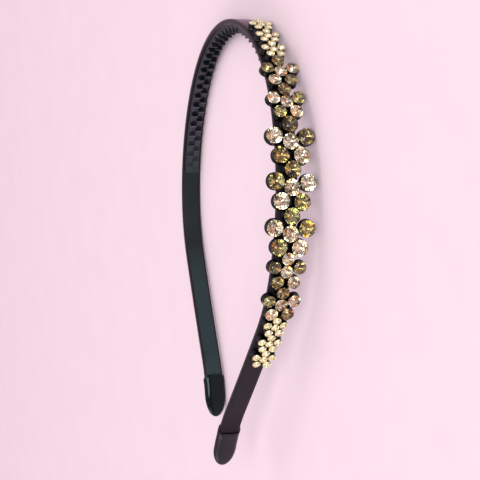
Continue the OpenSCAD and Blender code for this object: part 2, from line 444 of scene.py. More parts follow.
def connect(node, inputs):
    """Sets a node's inputs, named or in order, or links them to a socket or a node's first output."""
    pairs = inputs.items() if isinstance(inputs, dict) else enumerate(inputs)
    for key, value in pairs:
        if isinstance(value, bpy.types.Node):
            value = next(output for output in value.outputs if output.enabled)
        if isinstance(value, bpy.types.NodeSocket):
            node.id_data.links.new(value, node.inputs[key])
        else:
            node.inputs[key].default_value = value


def add_node(tree, kind, inputs=(), **settings):
    """Adds a node to a tree with its settings and its inputs, which are named or in order."""
    node = tree.nodes.new(kind)
    for name, value in settings.items():
        setattr(node, name, value)
    connect(node, inputs)
    return node


def new_tree(name, **sockets):
    """A geometry tree with inputs named for each kind of socket: it, its add_node and its inputs."""
    tree = bpy.data.node_groups.new(name, "GeometryNodeTree")
    tree.interface.new_socket("Geometry", in_out="OUTPUT", socket_type="NodeSocketGeometry")
    for kind, labels in {"Geometry": ("Geometry",), **sockets}.items():
        for label in labels:
            tree.interface.new_socket(label, in_out="INPUT", socket_type="NodeSocket" + kind)
    return tree, partial(add_node, tree), tree.nodes.new("NodeGroupInput").outputs


def swept_strip_tree():
    """Sweeps a rounded rectangle along a line, and keeps where each point was on the straight strip."""
    tree, add, given = new_tree(
        "swept_strip",
        Float=("Width", "Thickness", "Edge", "Outwards", "Point spacing", "Seam inset", "Seam depth"),
        Material=("Material",),
    )
    line = add("GeometryNodeMeshToCurve", {"Mesh": given["Geometry"]})
    upright = add("GeometryNodeSetCurveNormal", {"Curve": line}, mode="Z_UP")
    # The section: X runs through the strip's thickness, inwards, and Y across its width.
    corners = add(
        "GeometryNodeCurvePrimitiveQuadrilateral", {"Width": given["Thickness"], "Height": given["Width"]}
    )
    rounded = add(
        "GeometryNodeFilletCurve", {"Curve": corners, "Count": 4, "Radius": given["Edge"]}, mode="POLY"
    )
    points = add(
        "GeometryNodeResampleCurve", {"Curve": rounded, "Length": given["Point spacing"]}, mode="LENGTH"
    )
    inwards = add("ShaderNodeMath", (given["Outwards"], -1.0), operation="MULTIPLY")
    offset = add("ShaderNodeCombineXYZ", {"X": inwards})
    moved = add("GeometryNodeSetPosition", {"Geometry": points, "Offset": offset})
    noted = add(
        "GeometryNodeStoreNamedAttribute",
        {"Geometry": moved, "Name": "section", "Value": add("GeometryNodeInputPosition")},
        data_type="FLOAT_VECTOR",
        domain="POINT",
    )
    sweep = add("GeometryNodeCurveToMesh", {"Curve": upright, "Profile Curve": noted, "Fill Caps": True})
    section = add("GeometryNodeInputNamedAttribute", {"Name": "section"}, data_type="FLOAT_VECTOR")
    inward, up, _ = add("ShaderNodeSeparateXYZ", {"Vector": section}).outputs
    # The seam is a shallow valley at its inset from both edges.
    across = add("ShaderNodeMath", (up,), operation="ABSOLUTE")
    half = add("ShaderNodeMath", (given["Width"], 0.5), operation="MULTIPLY")
    seam = add("ShaderNodeMath", (half, given["Seam inset"]), operation="SUBTRACT")
    away = add("ShaderNodeMath", (across, seam), operation="SUBTRACT")
    distance = add("ShaderNodeMath", (away,), operation="ABSOLUTE")
    valley_side = 0.3 * MM
    valley = add(
        "ShaderNodeMapRange", (distance, 0.0, valley_side, -1.0, 0.0), interpolation_type="SMOOTHSTEP"
    )
    depth = add("ShaderNodeMath", (valley, given["Seam depth"]), operation="MULTIPLY")
    normal = add("GeometryNodeInputNormal")
    pressed = add("ShaderNodeVectorMath", {0: normal, "Scale": depth}, operation="SCALE")
    seamed = add("GeometryNodeSetPosition", {"Geometry": sweep, "Offset": pressed})
    # The place on the straight strip, for the materials: along, up and out from its middle.
    along = add("GeometryNodeInputNamedAttribute", {"Name": "along"}, data_type="FLOAT")
    outward = add("ShaderNodeMath", (inward, -1.0), operation="MULTIPLY")
    straight = add("ShaderNodeCombineXYZ", {"X": along, "Y": up, "Z": outward})
    unbent = add(
        "GeometryNodeStoreNamedAttribute",
        {"Geometry": seamed, "Name": "unbent", "Value": straight},
        data_type="FLOAT_VECTOR",
        domain="POINT",
    )
    real = add("GeometryNodeRealizeInstances", {"Geometry": unbent})
    finished = add("GeometryNodeSetMaterial", {"Geometry": real, "Material": given["Material"]})
    add("NodeGroupOutput", (finished,))
    return tree


def set_on_points_tree():
    """Sets a shape on each point at the point's own turn and size, beside an optional base."""
    tree, add, given = new_tree(
        "set_on_points",
        Object=("Shape", "Base"),
        Float=("Size", "Least flash", "Most flash"),
        Int=("Seed",),
        Material=("Material", "Back material"),
    )
    shape, base = (
        add("GeometryNodeObjectInfo", {"Object": given[label]}).outputs["Geometry"]
        for label in ("Shape", "Base")
    )
    turn, size = (
        add("GeometryNodeInputNamedAttribute", {"Name": name}, data_type="FLOAT_VECTOR")
        for name in ("turn", "size")
    )
    turned = add("FunctionNodeEulerToRotation", {"Euler": turn})
    scale = add("ShaderNodeVectorMath", {0: size, "Scale": given["Size"]}, operation="SCALE")
    spread = add(
        "GeometryNodeInstanceOnPoints",
        {"Points": given["Geometry"], "Instance": shape, "Rotation": turned, "Scale": scale},
    )
    joined = add("GeometryNodeJoinGeometry", {"Geometry": base})
    connect(joined, {"Geometry": spread})
    real = add("GeometryNodeRealizeInstances", {"Geometry": joined})
    # A number for each face, which gives a stone's facets their painted fire and reflections.
    chance = add(
        "FunctionNodeRandomValue",
        {2: given["Least flash"], 3: given["Most flash"], "Seed": given["Seed"]},
        data_type="FLOAT",
    )
    flash = add(
        "GeometryNodeStoreNamedAttribute",
        {"Geometry": real, "Name": "flash", "Value": chance},
        data_type="FLOAT",
        domain="FACE",
    )
    front = add("GeometryNodeSetMaterial", {"Geometry": flash, "Material": given["Material"]})
    backed = add("GeometryNodeInputNamedAttribute", {"Name": "backed"}, data_type="BOOLEAN")
    back = add(
        "GeometryNodeSetMaterial",
        {"Geometry": front, "Selection": backed, "Material": given["Back material"]},
    )
    add("NodeGroupOutput", (back,))
    return tree


TREES = {"swept_strip": swept_strip_tree, "set_on_points": set_on_points_tree}


def grown(source, kind, values, kept=()):
    """The plain mesh that a kind of tree makes of a source mesh, with only the kept attributes."""
    tree = bpy.data.node_groups.get(kind) or TREES[kind]()
    given = [item for item in tree.interface.items_tree if item.in_out == "INPUT"]
    sockets = {item.name: item.identifier for item in given}
    carrier = bpy.data.objects.new("carrier", source)
    bpy.context.scene.collection.objects.link(carrier)
    modifier = carrier.modifiers.new("Nodes", "NODES")
    modifier.node_group = tree
    for name, value in values.items():
        modifier[sockets[name]] = value
    depsgraph = bpy.context.evaluated_depsgraph_get()
    mesh = bpy.data.meshes.new_from_object(
        carrier.evaluated_get(depsgraph), preserve_all_data_layers=True, depsgraph=depsgraph
    )
    bpy.data.objects.remove(carrier)
    bpy.data.meshes.remove(source)
    if not mesh.polygons:
        raise RuntimeError(f"the tree {tree.name} made no faces")
    for spare in ("turn", "size", "section", "along", "unbent", "flash", "backed", "in_tooth"):
        if spare not in kept and spare in mesh.attributes:
            mesh.attributes.remove(mesh.attributes[spare])
    return mesh


def points_mesh(places):
    """A mesh of bare points with a turn and a size each, from (matrix, size) pairs."""
    mesh = mesh_of("places", [matrix.translation for matrix, _ in places])
    turns = mesh.attributes.new("turn", "FLOAT_VECTOR", "POINT")
    sizes = mesh.attributes.new("size", "FLOAT_VECTOR", "POINT")
    for number, (matrix, size) in enumerate(places):
        turns.data[number].vector = matrix.to_euler("XYZ")
        sizes.data[number].vector = size
    return mesh


def hidden_shape(mesh):
    """An object that only lends its mesh to a tree."""
    return bpy.data.objects.new(mesh.name, mesh)


def strip_mesh(end, sizes):
    """A strip along the band, as far down both legs, laid down as the hoop rests."""
    steps = math.ceil(2 * end / HOOP_STEP)
    runs = [-end + 2 * end * step / steps for step in range(steps + 1)]
    line = bpy.data.meshes.new("line")
    line.from_pydata([at(run) for run in runs], [(step, step + 1) for step in range(steps)], [])
    along = line.attributes.new("along", "FLOAT", "POINT")
    along.data.foreach_set("value", runs)
    mesh = grown(line, "swept_strip", sizes, kept=("unbent",))
    mesh.transform(laid())
    return smooth(mesh)


# Materials


def new_material(name, shader_inputs):
    """A material with one Principled shader: it, its add_node and the shader."""
    material = bpy.data.materials.new(name)
    material.use_nodes = True
    material.node_tree.nodes.clear()
    add = partial(add_node, material.node_tree)
    shader = add("ShaderNodeBsdfPrincipled", shader_inputs)
    add("ShaderNodeOutputMaterial", {"Surface": shader})
    return material, add, shader


def satin_ribbon():
    """Black polyester satin ribbon, woven and drawn tight over the band.

    Its long floating threads run with the band. They give a soft lengthwise sheen and faint
    streaks. The black ribbon carries a painted reflection: a warm tint on the outer face and a
    cool one on the inner face.
    """
    looks = bpy.context.scene.headband_band
    sheen = {"Sheen Weight": 0.6, "Sheen Roughness": 0.3, "Sheen Tint": srgb("#dcadc2")}
    material, add, shader = new_material("black_satin_ribbon", {"Specular IOR Level": 0.25, **sheen})
    straight = add("ShaderNodeAttribute", attribute_name="unbent").outputs["Vector"]
    along, up, out = add("ShaderNodeSeparateXYZ", {"Vector": straight}).outputs
    # Real threads are 0.1 mm apart. These are drawn 0.3 mm apart, so that they show.
    thread_length, thread_gap = 6 * MM, 0.3 * MM
    stretched = add(
        "ShaderNodeMapping",
        {"Vector": straight, "Scale": (1 / thread_length, 1 / thread_gap, 1 / thread_gap)},
    )
    threads = add("ShaderNodeTexNoise", {"Vector": stretched, "Scale": 1.0, "Detail": 3.0})
    # The weft shows as fine ribs across the ribbon. At scale 1 this texture's bands are 0.314 m apart.
    rib_gap = 0.5 * MM
    weft = add(
        "ShaderNodeTexWave",
        {"Vector": straight, "Scale": 0.314 / rib_gap, "Distortion": 1.5, "Detail": 1.0},
        bands_direction="X",
    ).outputs["Fac"]
    inner_face = -looks.thickness / 2
    is_outer = add("ShaderNodeMapRange", (out, inner_face, looks.edge - looks.thickness / 2))
    # The outer ribbon is folded over the edges on to the inner face, as far as the seam.
    across = add("ShaderNodeMath", (up,), operation="ABSOLUTE")
    edge, blur = looks.width / 2, 0.1 * MM
    seam = edge - looks.seam_inset
    is_fold = add("ShaderNodeMapRange", (across, seam - blur, seam + blur))
    is_warm = add("ShaderNodeMath", (is_outer, is_fold), operation="MAXIMUM")
    # Painted shade and painted light: the inner face is painted darker near the crown, beside the comb,
    # and paler down the legs.
    run = add("ShaderNodeMath", (along,), operation="ABSOLUTE")
    painted_dark, painted_pale, dark, pale = 112 * MM, 121 * MM, 0.42, 1.15
    painted_shade_along = add("ShaderNodeMapRange", (run, painted_dark, painted_pale, dark, pale), interpolation_type="SMOOTHSTEP")
    inner = add("ShaderNodeVectorMath", {0: looks.inner[:3], "Scale": painted_shade_along}, operation="SCALE")
    # Painted reflection: the outer face and the fold take the warm tint, the inner face the cool one.
    face_tint = add("ShaderNodeMix", {"Factor": is_warm, 6: inner, 7: looks.outer}, data_type="RGBA")
    streaks, sheen_swing = 0.18, 0.25
    streak = add("ShaderNodeMapRange", (threads, *MOST_NOISE, 1 - streaks, 1 + streaks))
    # Painted sheen: the ribbon's tone swells and fades in patches every few centimetres.
    sheen_patch = 22 * MM
    sheen_noise = add("ShaderNodeTexNoise", {"Vector": straight, "Scale": 1 / sheen_patch, "Detail": 2.0})
    painted_sheen = add("ShaderNodeMapRange", (sheen_noise, 0.35, 0.65, 1 - sheen_swing, 1 + sheen_swing))
    # Painted shade along both edges: the fold is darker over the last half millimetre, down to a third.
    edge_shade = add("ShaderNodeMapRange", (across, edge - 0.5 * MM, edge - 0.05 * MM, 1.0, 0.35))
    shade = add("ShaderNodeMath", (streak, edge_shade), operation="MULTIPLY")
    streaks_and_painted_light = add("ShaderNodeMath", (shade, painted_sheen), operation="MULTIPLY")
    painted_ribbon = add("ShaderNodeVectorMath", {0: face_tint, "Scale": streaks_and_painted_light}, operation="SCALE")
    sleek, dull = looks.roughness - 0.06, looks.roughness + 0.08
    rough = add("ShaderNodeMapRange", (threads, *MOST_NOISE, sleek, dull))
    # The relief is of both, the ribs a third as high as the threads.
    relief = add("ShaderNodeMath", (weft, 0.35, threads), operation="MULTIPLY_ADD")
    bump = add("ShaderNodeBump", {"Strength": 0.35, "Distance": 0.04 * MM, "Height": relief})
    connect(shader, {"Base Color": painted_ribbon, "Roughness": rough, "Normal": bump})
    return material


def rippled_skin(name, tint, roughness, grain, relief, mottle, specular, specular_tint="#ffffff"):
    """The skin of a moulded, dipped or pressed thing, with ripples of a grain and relief in metres.

    It gives even reflections that are broken up a little, and its tint wanders by the mottle.
    """
    shine = {"Specular IOR Level": specular, "Specular Tint": srgb(specular_tint)}
    material, add, shader = new_material(name, shine)
    place = add("ShaderNodeTexCoord").outputs["Object"]
    ripples = add("ShaderNodeTexNoise", {"Vector": place, "Scale": 1 / grain, "Detail": 2.0})
    # Its tint and its roughness wander over patches six times as wide as the grain.
    clouds = add("ShaderNodeTexNoise", {"Vector": place, "Scale": 1 / (6 * grain), "Detail": 3.0})
    uneven = 0.15
    grey, rough = (
        add("ShaderNodeMapRange", (clouds, *MOST_NOISE, middle * (1 - part), middle * (1 + part)))
        for middle, part in ((1, mottle), (roughness, uneven))
    )
    tinted = add("ShaderNodeVectorMath", {0: tint[:3], "Scale": grey}, operation="SCALE")
    bump = add("ShaderNodeBump", {"Strength": 0.3, "Distance": relief, "Height": ripples})
    connect(shader, {"Base Color": tinted, "Roughness": rough, "Normal": bump})
    return material, add, shader


def comb_plastic_with_painted_light():
    """Black moulded plastic with painted light: painted highlights on the teeth's tips, and a
    cooler painted reflection towards the strip's ends.

    Each tooth runs down into a pit painted black as shade; its steep face is painted black
    too, and the margins get a fifth of that painted shade.
    """
    looks = bpy.context.scene.headband_comb
    material, add, shader = rippled_skin(
        "moulded_black_plastic", looks.plastic, roughness=looks.roughness,
        grain=0.5 * MM, relief=0.03 * MM, mottle=0.15, specular=0.25,
    )
    in_tooth, size = (
        add("ShaderNodeAttribute", attribute_name=name).outputs["Vector"] for name in ("in_tooth", "size")
    )
    along, _, up = add("ShaderNodeSeparateXYZ", {"Vector": in_tooth}).outputs
    height = add("ShaderNodeSeparateXYZ", {"Vector": size}).outputs["Z"]
    # The painted shade of a pit is an oval on the tooth's low end, with its edge at 1. Its black fades
    # out round that.
    oval = add(
        "ShaderNodeMapping",
        {
            "Vector": in_tooth,
            "Location": (-looks.pit_place / looks.pit_length, 0, 0),
            "Scale": (1 / looks.pit_length, 1 / (looks.tooth_width * TOOTH_TOP), 0),
        },
    )
    from_middle = add("ShaderNodeVectorMath", (oval,), operation="LENGTH")
    clear, black = 1.2, 0.65
    painted_pit_shade = add("ShaderNodeMapRange", (from_middle, clear, black), interpolation_type="SMOOTHSTEP")
    # Painted shade: below the top of a tooth, its steep face, up to 0.35 mm in, is painted black.
    shoulder, top = looks.tip * 0.88, looks.tip * 0.98
    under_tip = add("ShaderNodeMapRange", (up, top, shoulder), interpolation_type="SMOOTHSTEP")
    steep_face = add("ShaderNodeMapRange", (along, 0.35 * MM, 0.2 * MM))
    painted_dark = add("ShaderNodeMath", (steep_face, under_tip), operation="MULTIPLY")
    either = add("ShaderNodeMath", (painted_pit_shade, painted_dark), operation="MAXIMUM")
    depth = add("ShaderNodeMath", (either, height), operation="MULTIPLY")
    # Painted reflection: towards the strip's ends, where the teeth are low, the plastic takes a cooler
    # tint.
    low, full = 0.3, 1.0
    away_from_ends = add("ShaderNodeMapRange", (height, low, full), interpolation_type="SMOOTHSTEP")
    # Painted highlight: the very tips are nearly twice as pale as the rest.
    tip_highlight = add("ShaderNodeMapRange", (up, shoulder, top, 1.0, 1.9))
    moulded = shader.inputs["Base Color"].links[0].from_socket
    painted_pale = add("ShaderNodeVectorMath", {0: moulded, "Scale": tip_highlight}, operation="SCALE")
    tinted_along = add("ShaderNodeMix", {"Factor": away_from_ends, 6: looks.ends, 7: painted_pale}, data_type="RGBA")
    toned = add("ShaderNodeMix", {"Factor": depth, 6: tinted_along, 7: looks.pit}, data_type="RGBA")
    connect(shader, {"Base Color": toned})
    return material


def cut_glass(name, tint):
    """Pressed and polished lead-free crystal glass, the front of a cut stone.

    Its flat facets bend the light to the foil and back, and each mirrors a bit of the room.
    """
    glass = {"Base Color": tint, "Roughness": 0.0, "IOR": 1.55, "Transmission Weight": 1.0}
    return new_material(name, glass)[0]


def mirror_foil(name, tint, flashes):
    """Silvered and lacquered foil, the back of a cut stone.

    It mirrors through the glass. Each facet is painted with one of the flashes: painted fire,
    the colours into which a cut stone splits the light, and painted dark and bright reflections.
    """
    material, add, shader = new_material(name, {"Metallic": 1.0, "Roughness": 0.03})
    facet = add("ShaderNodeAttribute", attribute_name="flash").outputs["Fac"]
    ramp = add("ShaderNodeValToRGB", {"Fac": facet})
    ramp.color_ramp.interpolation = "CONSTANT"
    stops = ramp.color_ramp.elements
    stops.remove(stops[-1])
    for number, (place, tone) in enumerate(flashes):
        stop = stops.new(place) if number else stops[0]
        stop.position = place
        stop.color = (*(whole * part for whole, part in zip(tint, tone)), 1.0)
    connect(shader, {"Base Color": ramp})
    return material


# Operators


class HEADBAND_OT_band(bpy.types.Operator):
    """Makes the band: a flat springy strip covered in satin ribbon"""

    bl_idname = "headband.band"
    bl_label = "Satin band"

    def execute(self, context):
        looks = context.scene.headband_band
        end = sum(context.scene.headband_hoop.bend_lengths) - looks.cap_depth
        sizes = {
            "Width": looks.width,
            "Thickness": looks.thickness,
            "Edge": looks.edge,
            "Point spacing": 0.2 * MM,
            "Seam inset": looks.seam_inset,
            "Seam depth": looks.seam_depth,
            "Material": satin_ribbon(),
        }
        piece("satin_band", strip_mesh(end, sizes), "satin_ribbon", "band")
        return {"FINISHED"}


class HEADBAND_OT_comb(bpy.types.Operator):
    """Makes the comb strip with its two rows of sloping teeth"""

    bl_idname = "headband.comb"
    bl_label = "Comb strip"

    def tooth(self, looks):
        """One tooth: steep towards the crown, with a short top, a low back and a foot in the strip."""
        sunk, lean = -0.3 * MM, 0.12 * MM
        foot, top = looks.tooth_width / 2, looks.tooth_width * TOOTH_TOP
        # Its side: up the steep face, over the tip and down the back, with half its width there.
        side = [
            (0, sunk, foot),
            (lean, looks.tip, top),
            (looks.tooth_length * 0.22, looks.tip * 0.85, top),
            (looks.tooth_length * 0.55, looks.tail * 0.9, top),
            (looks.tooth_length - lean, looks.tail * 0.6, top),
            (looks.tooth_length, sunk, foot),
        ]
        rings = [[(x, edge * half, z) for x, z, half in side] for edge in (-1, 1)]
        mesh = skin("tooth", rings, rounding=0.12 * MM)
        in_tooth = mesh.attributes.new("in_tooth", "FLOAT_VECTOR", "POINT")
        for vertex, place in zip(mesh.vertices, in_tooth.data):
            place.vector = vertex.co
        return smooth(mesh, angle=50)

    def mark_painted_pit_shade(self, base, looks):
        """Marks the strip between its margins for the pits' painted shade, with the teeth's own
        attributes.
        """
        rows_end = looks.tooth_row + looks.tooth_width / 2
        # This far from the pit's middle, the margins get a fifth of its painted shade.
        margin = 1.16 * MM
        in_tooth, size = [], []
        for point in base.attributes["unbent"].data:
            along, up, _ = point.vector
            in_tooth += (looks.pit_place - (0 if abs(up) < rows_end else margin), 0, 0)
            size += (1, 1, self.height(abs(along), looks))
        for name, values in (("in_tooth", in_tooth), ("size", size)):
            base.attributes.new(name, "FLOAT_VECTOR", "POINT")
            base.attributes[name].data.foreach_set("vector", values)

    def height(self, run, looks):
        """How high the teeth are at a run from the crown, as a part of their full height."""
        at_the_end = 0.2
        return max(0, min(1, (looks.reach - run) / looks.fade + at_the_end))

    def tooth_places(self, looks):
        """The matrices and sizes of all the teeth, on both sides and in both rows."""
        floor = -bpy.context.scene.headband_band.thickness / 2 - looks.gap - looks.base
        pit = looks.tooth_pitch - looks.tooth_length
        places = []
        for side, row in ((-1, -1), (-1, 1), (1, -1), (1, 1)):
            start = pit + (0 if row > 0 else looks.tooth_pitch / 2)
            up = row * looks.tooth_row
            while start <= looks.reach - looks.tooth_length / 2:
                end = min(start + looks.tooth_length, looks.reach)
                near, far = at(side * start, up, floor), at(side * end, up, floor)
                middle = side * (start + end) / 2
                forward = (far - near).normalized()
                inward = (at(middle, up, floor) - at(middle, up)).normalized()
                sideways = inward.cross(forward).normalized()
                inward = forward.cross(sideways)
                turn = Matrix((forward, sideways, inward)).transposed().to_4x4()
                size = ((end - start) / looks.tooth_length, 1, self.height(start, looks))
                places.append((laid() @ (Matrix.Translation(near) @ turn), size))
                start += looks.tooth_pitch
        return places

    def execute(self, context):
        looks, band = context.scene.headband_comb, context.scene.headband_band
        plastic = comb_plastic_with_painted_light()
        sizes = {
            "Width": looks.width,
            "Thickness": looks.base,
            "Edge": 0.15 * MM,
            "Outwards": -(band.thickness + looks.base) / 2 - looks.gap,
            "Point spacing": 0.3 * MM,
            "Material": plastic,
        }
        base = strip_mesh(looks.reach, sizes)
        self.mark_painted_pit_shade(base, looks)
        parts = {
            "Shape": hidden_shape(self.tooth(looks)),
            "Base": hidden_shape(base),
            "Size": 1.0,
            "Material": plastic,
            "Back material": plastic,
        }
        teeth = points_mesh(self.tooth_places(looks))
        mesh = grown(teeth, "set_on_points", parts, kept=("in_tooth", "size"))
        piece("comb", mesh, "moulded_comb", "comb_strip")
        return {"FINISHED"}


class HEADBAND_OT_end_caps(bpy.types.Operator):
    """Makes the two dipped caps with their rounded lips and noses"""

    bl_idname = "headband.end_caps"
    bl_label = "End caps"

    def ring(self, side, section, depth, slant=0.0):
        """A ring of points at a depth from the tip, slanted towards the outer face."""
        thickness = bpy.context.scene.headband_caps.thickness
        tip = sum(bpy.context.scene.headband_hoop.bend_lengths)
        return [
            at(side * (tip - depth + slant * (0.5 + out / thickness)), up, out) for up, out in section
        ]

    def cap(self, side, looks, band):
        """One cap, from the bottom of its pocket round the lip to the tip of its nose."""

        def section(extra):
            """The cap's domed outline with nearly round edges, larger by this on all sides."""
            width, thickness = looks.width + 2 * extra, looks.thickness + 2 * extra
            return [
                (up, out * (1 - looks.dome * (2 * up / width) ** 2 / looks.thickness))
                for up, out in rounded_section(width, thickness, thickness * 0.47)
            ]

        def mouth(room):
            """The band's outline with this room round it."""
            return rounded_section(band.width + 2 * room, band.thickness + 2 * room, band.edge + room)

        # The pocket is snug round the band up to 4 mm from the cap's end, and then opens.
        snug, lip_start = 0.08 * MM, looks.length - looks.lip
        rings = [
            self.ring(side, mouth(snug), band.cap_depth - 0.1 * MM),
            self.ring(side, mouth(snug), looks.length - 4 * MM, looks.slant),
            self.ring(side, mouth(looks.mouth * 0.6), looks.length - 1.6 * MM, looks.slant),
            self.ring(side, mouth(looks.mouth), lip_start, looks.slant),
        ]
        # The lip turns over from the pocket's wall to the outside.
        lip_steps, body_steps, nose_steps = 8, 8, 14
        for step in range(1, lip_steps):
            angle = math.pi * step / lip_steps
            inwards = (1 + math.cos(angle)) / 2
            rise = math.sin(angle) * looks.lip
            blend = [
                tuple(start + (end - start) * inwards for start, end in zip(outer, inner))
                for outer, inner in zip(section(0), mouth(looks.mouth))
            ]
            rings.append(self.ring(side, blend, lip_start + rise, looks.slant))
        nose = looks.nose if side > 0 else looks.plain_nose
        # The dip is a little thicker just behind the lip: how much, where and how wide.
        bead_height, bead_place, bead_width = 0.14 * MM, 0.06, 0.08
        for step in range(body_steps + 1):
            way = step / body_steps
            bead = bead_height * math.exp(-(((way - bead_place) / bead_width) ** 2))
            depth = lip_start * (1 - way) + nose * way
            rings.append(self.ring(side, section(bead), depth, looks.slant * (1 - way)))
        # The nose is a quarter of an oval, and stops just short of a point.
        for step in range(1, nose_steps + 1):
            angle = math.radians(88.5) * step / nose_steps
            size = math.cos(angle)
            narrowed = [(up * size, out * size) for up, out in section(0)]
            rings.append(self.ring(side, narrowed, nose * (1 - math.sin(angle))))
        mesh = skin("cap", rings)
        mesh.transform(laid())
        return smooth(mesh, angle=60)

    def execute(self, context):
        looks, band = context.scene.headband_caps, context.scene.headband_band
        # The same dipped vinyl in two copies: a soft sheen on one cap, glossy on the other. Their colours
        # are painted reflection: purple-grey on the decorated cap, green-black with a greenish specular
        # tint on the plain one.
        soft = rippled_skin(
            "soft_dipped_vinyl", looks.decorated, roughness=0.36,
            grain=1.2 * MM, relief=0.05 * MM, mottle=0.08, specular=0.4,
        )[0]
        glossy = rippled_skin(
            "glossy_dipped_vinyl", looks.plain, roughness=0.14,
            grain=2.5 * MM, relief=0.04 * MM, mottle=0.08, specular=0.3, specular_tint="#daf9f6",
        )[0]
        for side, name, vinyl in ((1, "decorated", soft), (-1, "plain", glossy)):
            mesh = self.cap(side, looks, band)
            mesh.materials.append(vinyl)
            piece(name + "_cap", mesh, "dipped_cap", name + "_end_cap")
        return {"FINISHED"}


class HEADBAND_OT_cups(bpy.types.Operator):
    """Makes the glossy black flowers of six cups on their webs"""

    bl_idname = "headband.cups"
    bl_label = "Flower cups"

    def cup(self, size, shape):
        """One cup: a flared foot, a straight wall, a rounded rim and a seat for the stone's back."""
        stone, wall = shape.stones[SIZES[size]], shape.cups[SIZES[size]]
        stones = bpy.context.scene.headband_stones
        foot, base = shape.foot, wall + shape.flare
        rim, room = 0.05 * MM, 0.05 * MM
        top = shape.girdle - stones.girdle * stone / 2 - 0.02 * MM
        inner = stone - 0.06 * MM
        profile = [
            # The foot, with its edges broken.
            (0, foot),
            (base - 0.08 * MM, foot),
            (base, foot + 0.08 * MM),
            (base, foot + 0.42 * MM),
            (base - 0.05 * MM, foot + 0.52 * MM),
            # The wall, a little thicker towards its rounded rim.
            (wall - 0.03 * MM, foot + 0.66 * MM),
            (wall - 0.03 * MM, top - 0.35 * MM),
            (wall, top - 0.2 * MM),
            (wall, top - rim),
            (wall - rim * 0.4, top - rim * 0.3),
            (wall - rim, top),
            # The seat, as steep as the stone's back.
            (inner, top - 0.01 * MM),
            (inner - 0.01 * MM, top - stones.pavilion * (stone - inner) - room),
            (0, top - stones.pavilion * stone - room),
        ]
        return smooth(lathe("cup_" + size, profile, sides=36), angle=40)

    def web(self, size, shape):
        """Five low bars with rounded tops that join the petals' cups to the middle one.

        They stop inside the cups' walls, clear of the pointed backs of the stones.
        """
        stone, reach = shape.stones[SIZES[size]], shape.petals[SIZES[size]]
        tall, rounding, hair = 1.0 * MM, 0.25 * MM, 0.001 * MM
        bars = bmesh.new()
        for angle in PETAL_ANGLES:
            middle = Matrix.Translation((-reach / 2, 0, shape.foot + tall / 2))
            measures = Matrix.Diagonal((reach - stone, stone, tall, 1))
            bmesh.ops.create_cube(bars, size=1, matrix=rotation(angle, "Z") @ middle @ measures)
        top = shape.foot + tall - hair
        upper = [edge for edge in bars.edges if min(end.co.z for end in edge.verts) > top]
        bmesh.ops.bevel(bars, geom=upper, offset=rounding, segments=2, affect="EDGES")
        mesh = bpy.data.meshes.new("web_" + size)
        bars.to_mesh(mesh)
        bars.free()
        return smooth(mesh, angle=40)

    def execute(self, context):
        shape = context.scene.headband_flower
        # Moulded acrylic, hard and polished: its rims catch thin bright lines of light.
        acrylic = rippled_skin(
            "glossy_black_acrylic", shape.acrylic, roughness=0.14,
            grain=0.8 * MM, relief=0.02 * MM, mottle=0.1, specular=0.25,
        )[0]
        for number, flower in enumerate(FLOWERS, 1):
            _, size, _, _ = flower
            web = self.web(size, shape)
            web.transform(flower_matrix(flower))
            parts = {
                "Shape": hidden_shape(self.cup(size, shape)),
                "Base": hidden_shape(web),
                "Size": 1.0,
                "Material": acrylic,
                "Back material": acrylic,
            }
            cups = points_mesh([(matrix, (1, 1, 1)) for matrix in stone_places(flower)])
            name = f"flower_{number:02d}"
            mesh = grown(cups, "set_on_points", parts)
            piece(name + "_cups", mesh, "black_setting", name + "_setting")
        return {"FINISHED"}


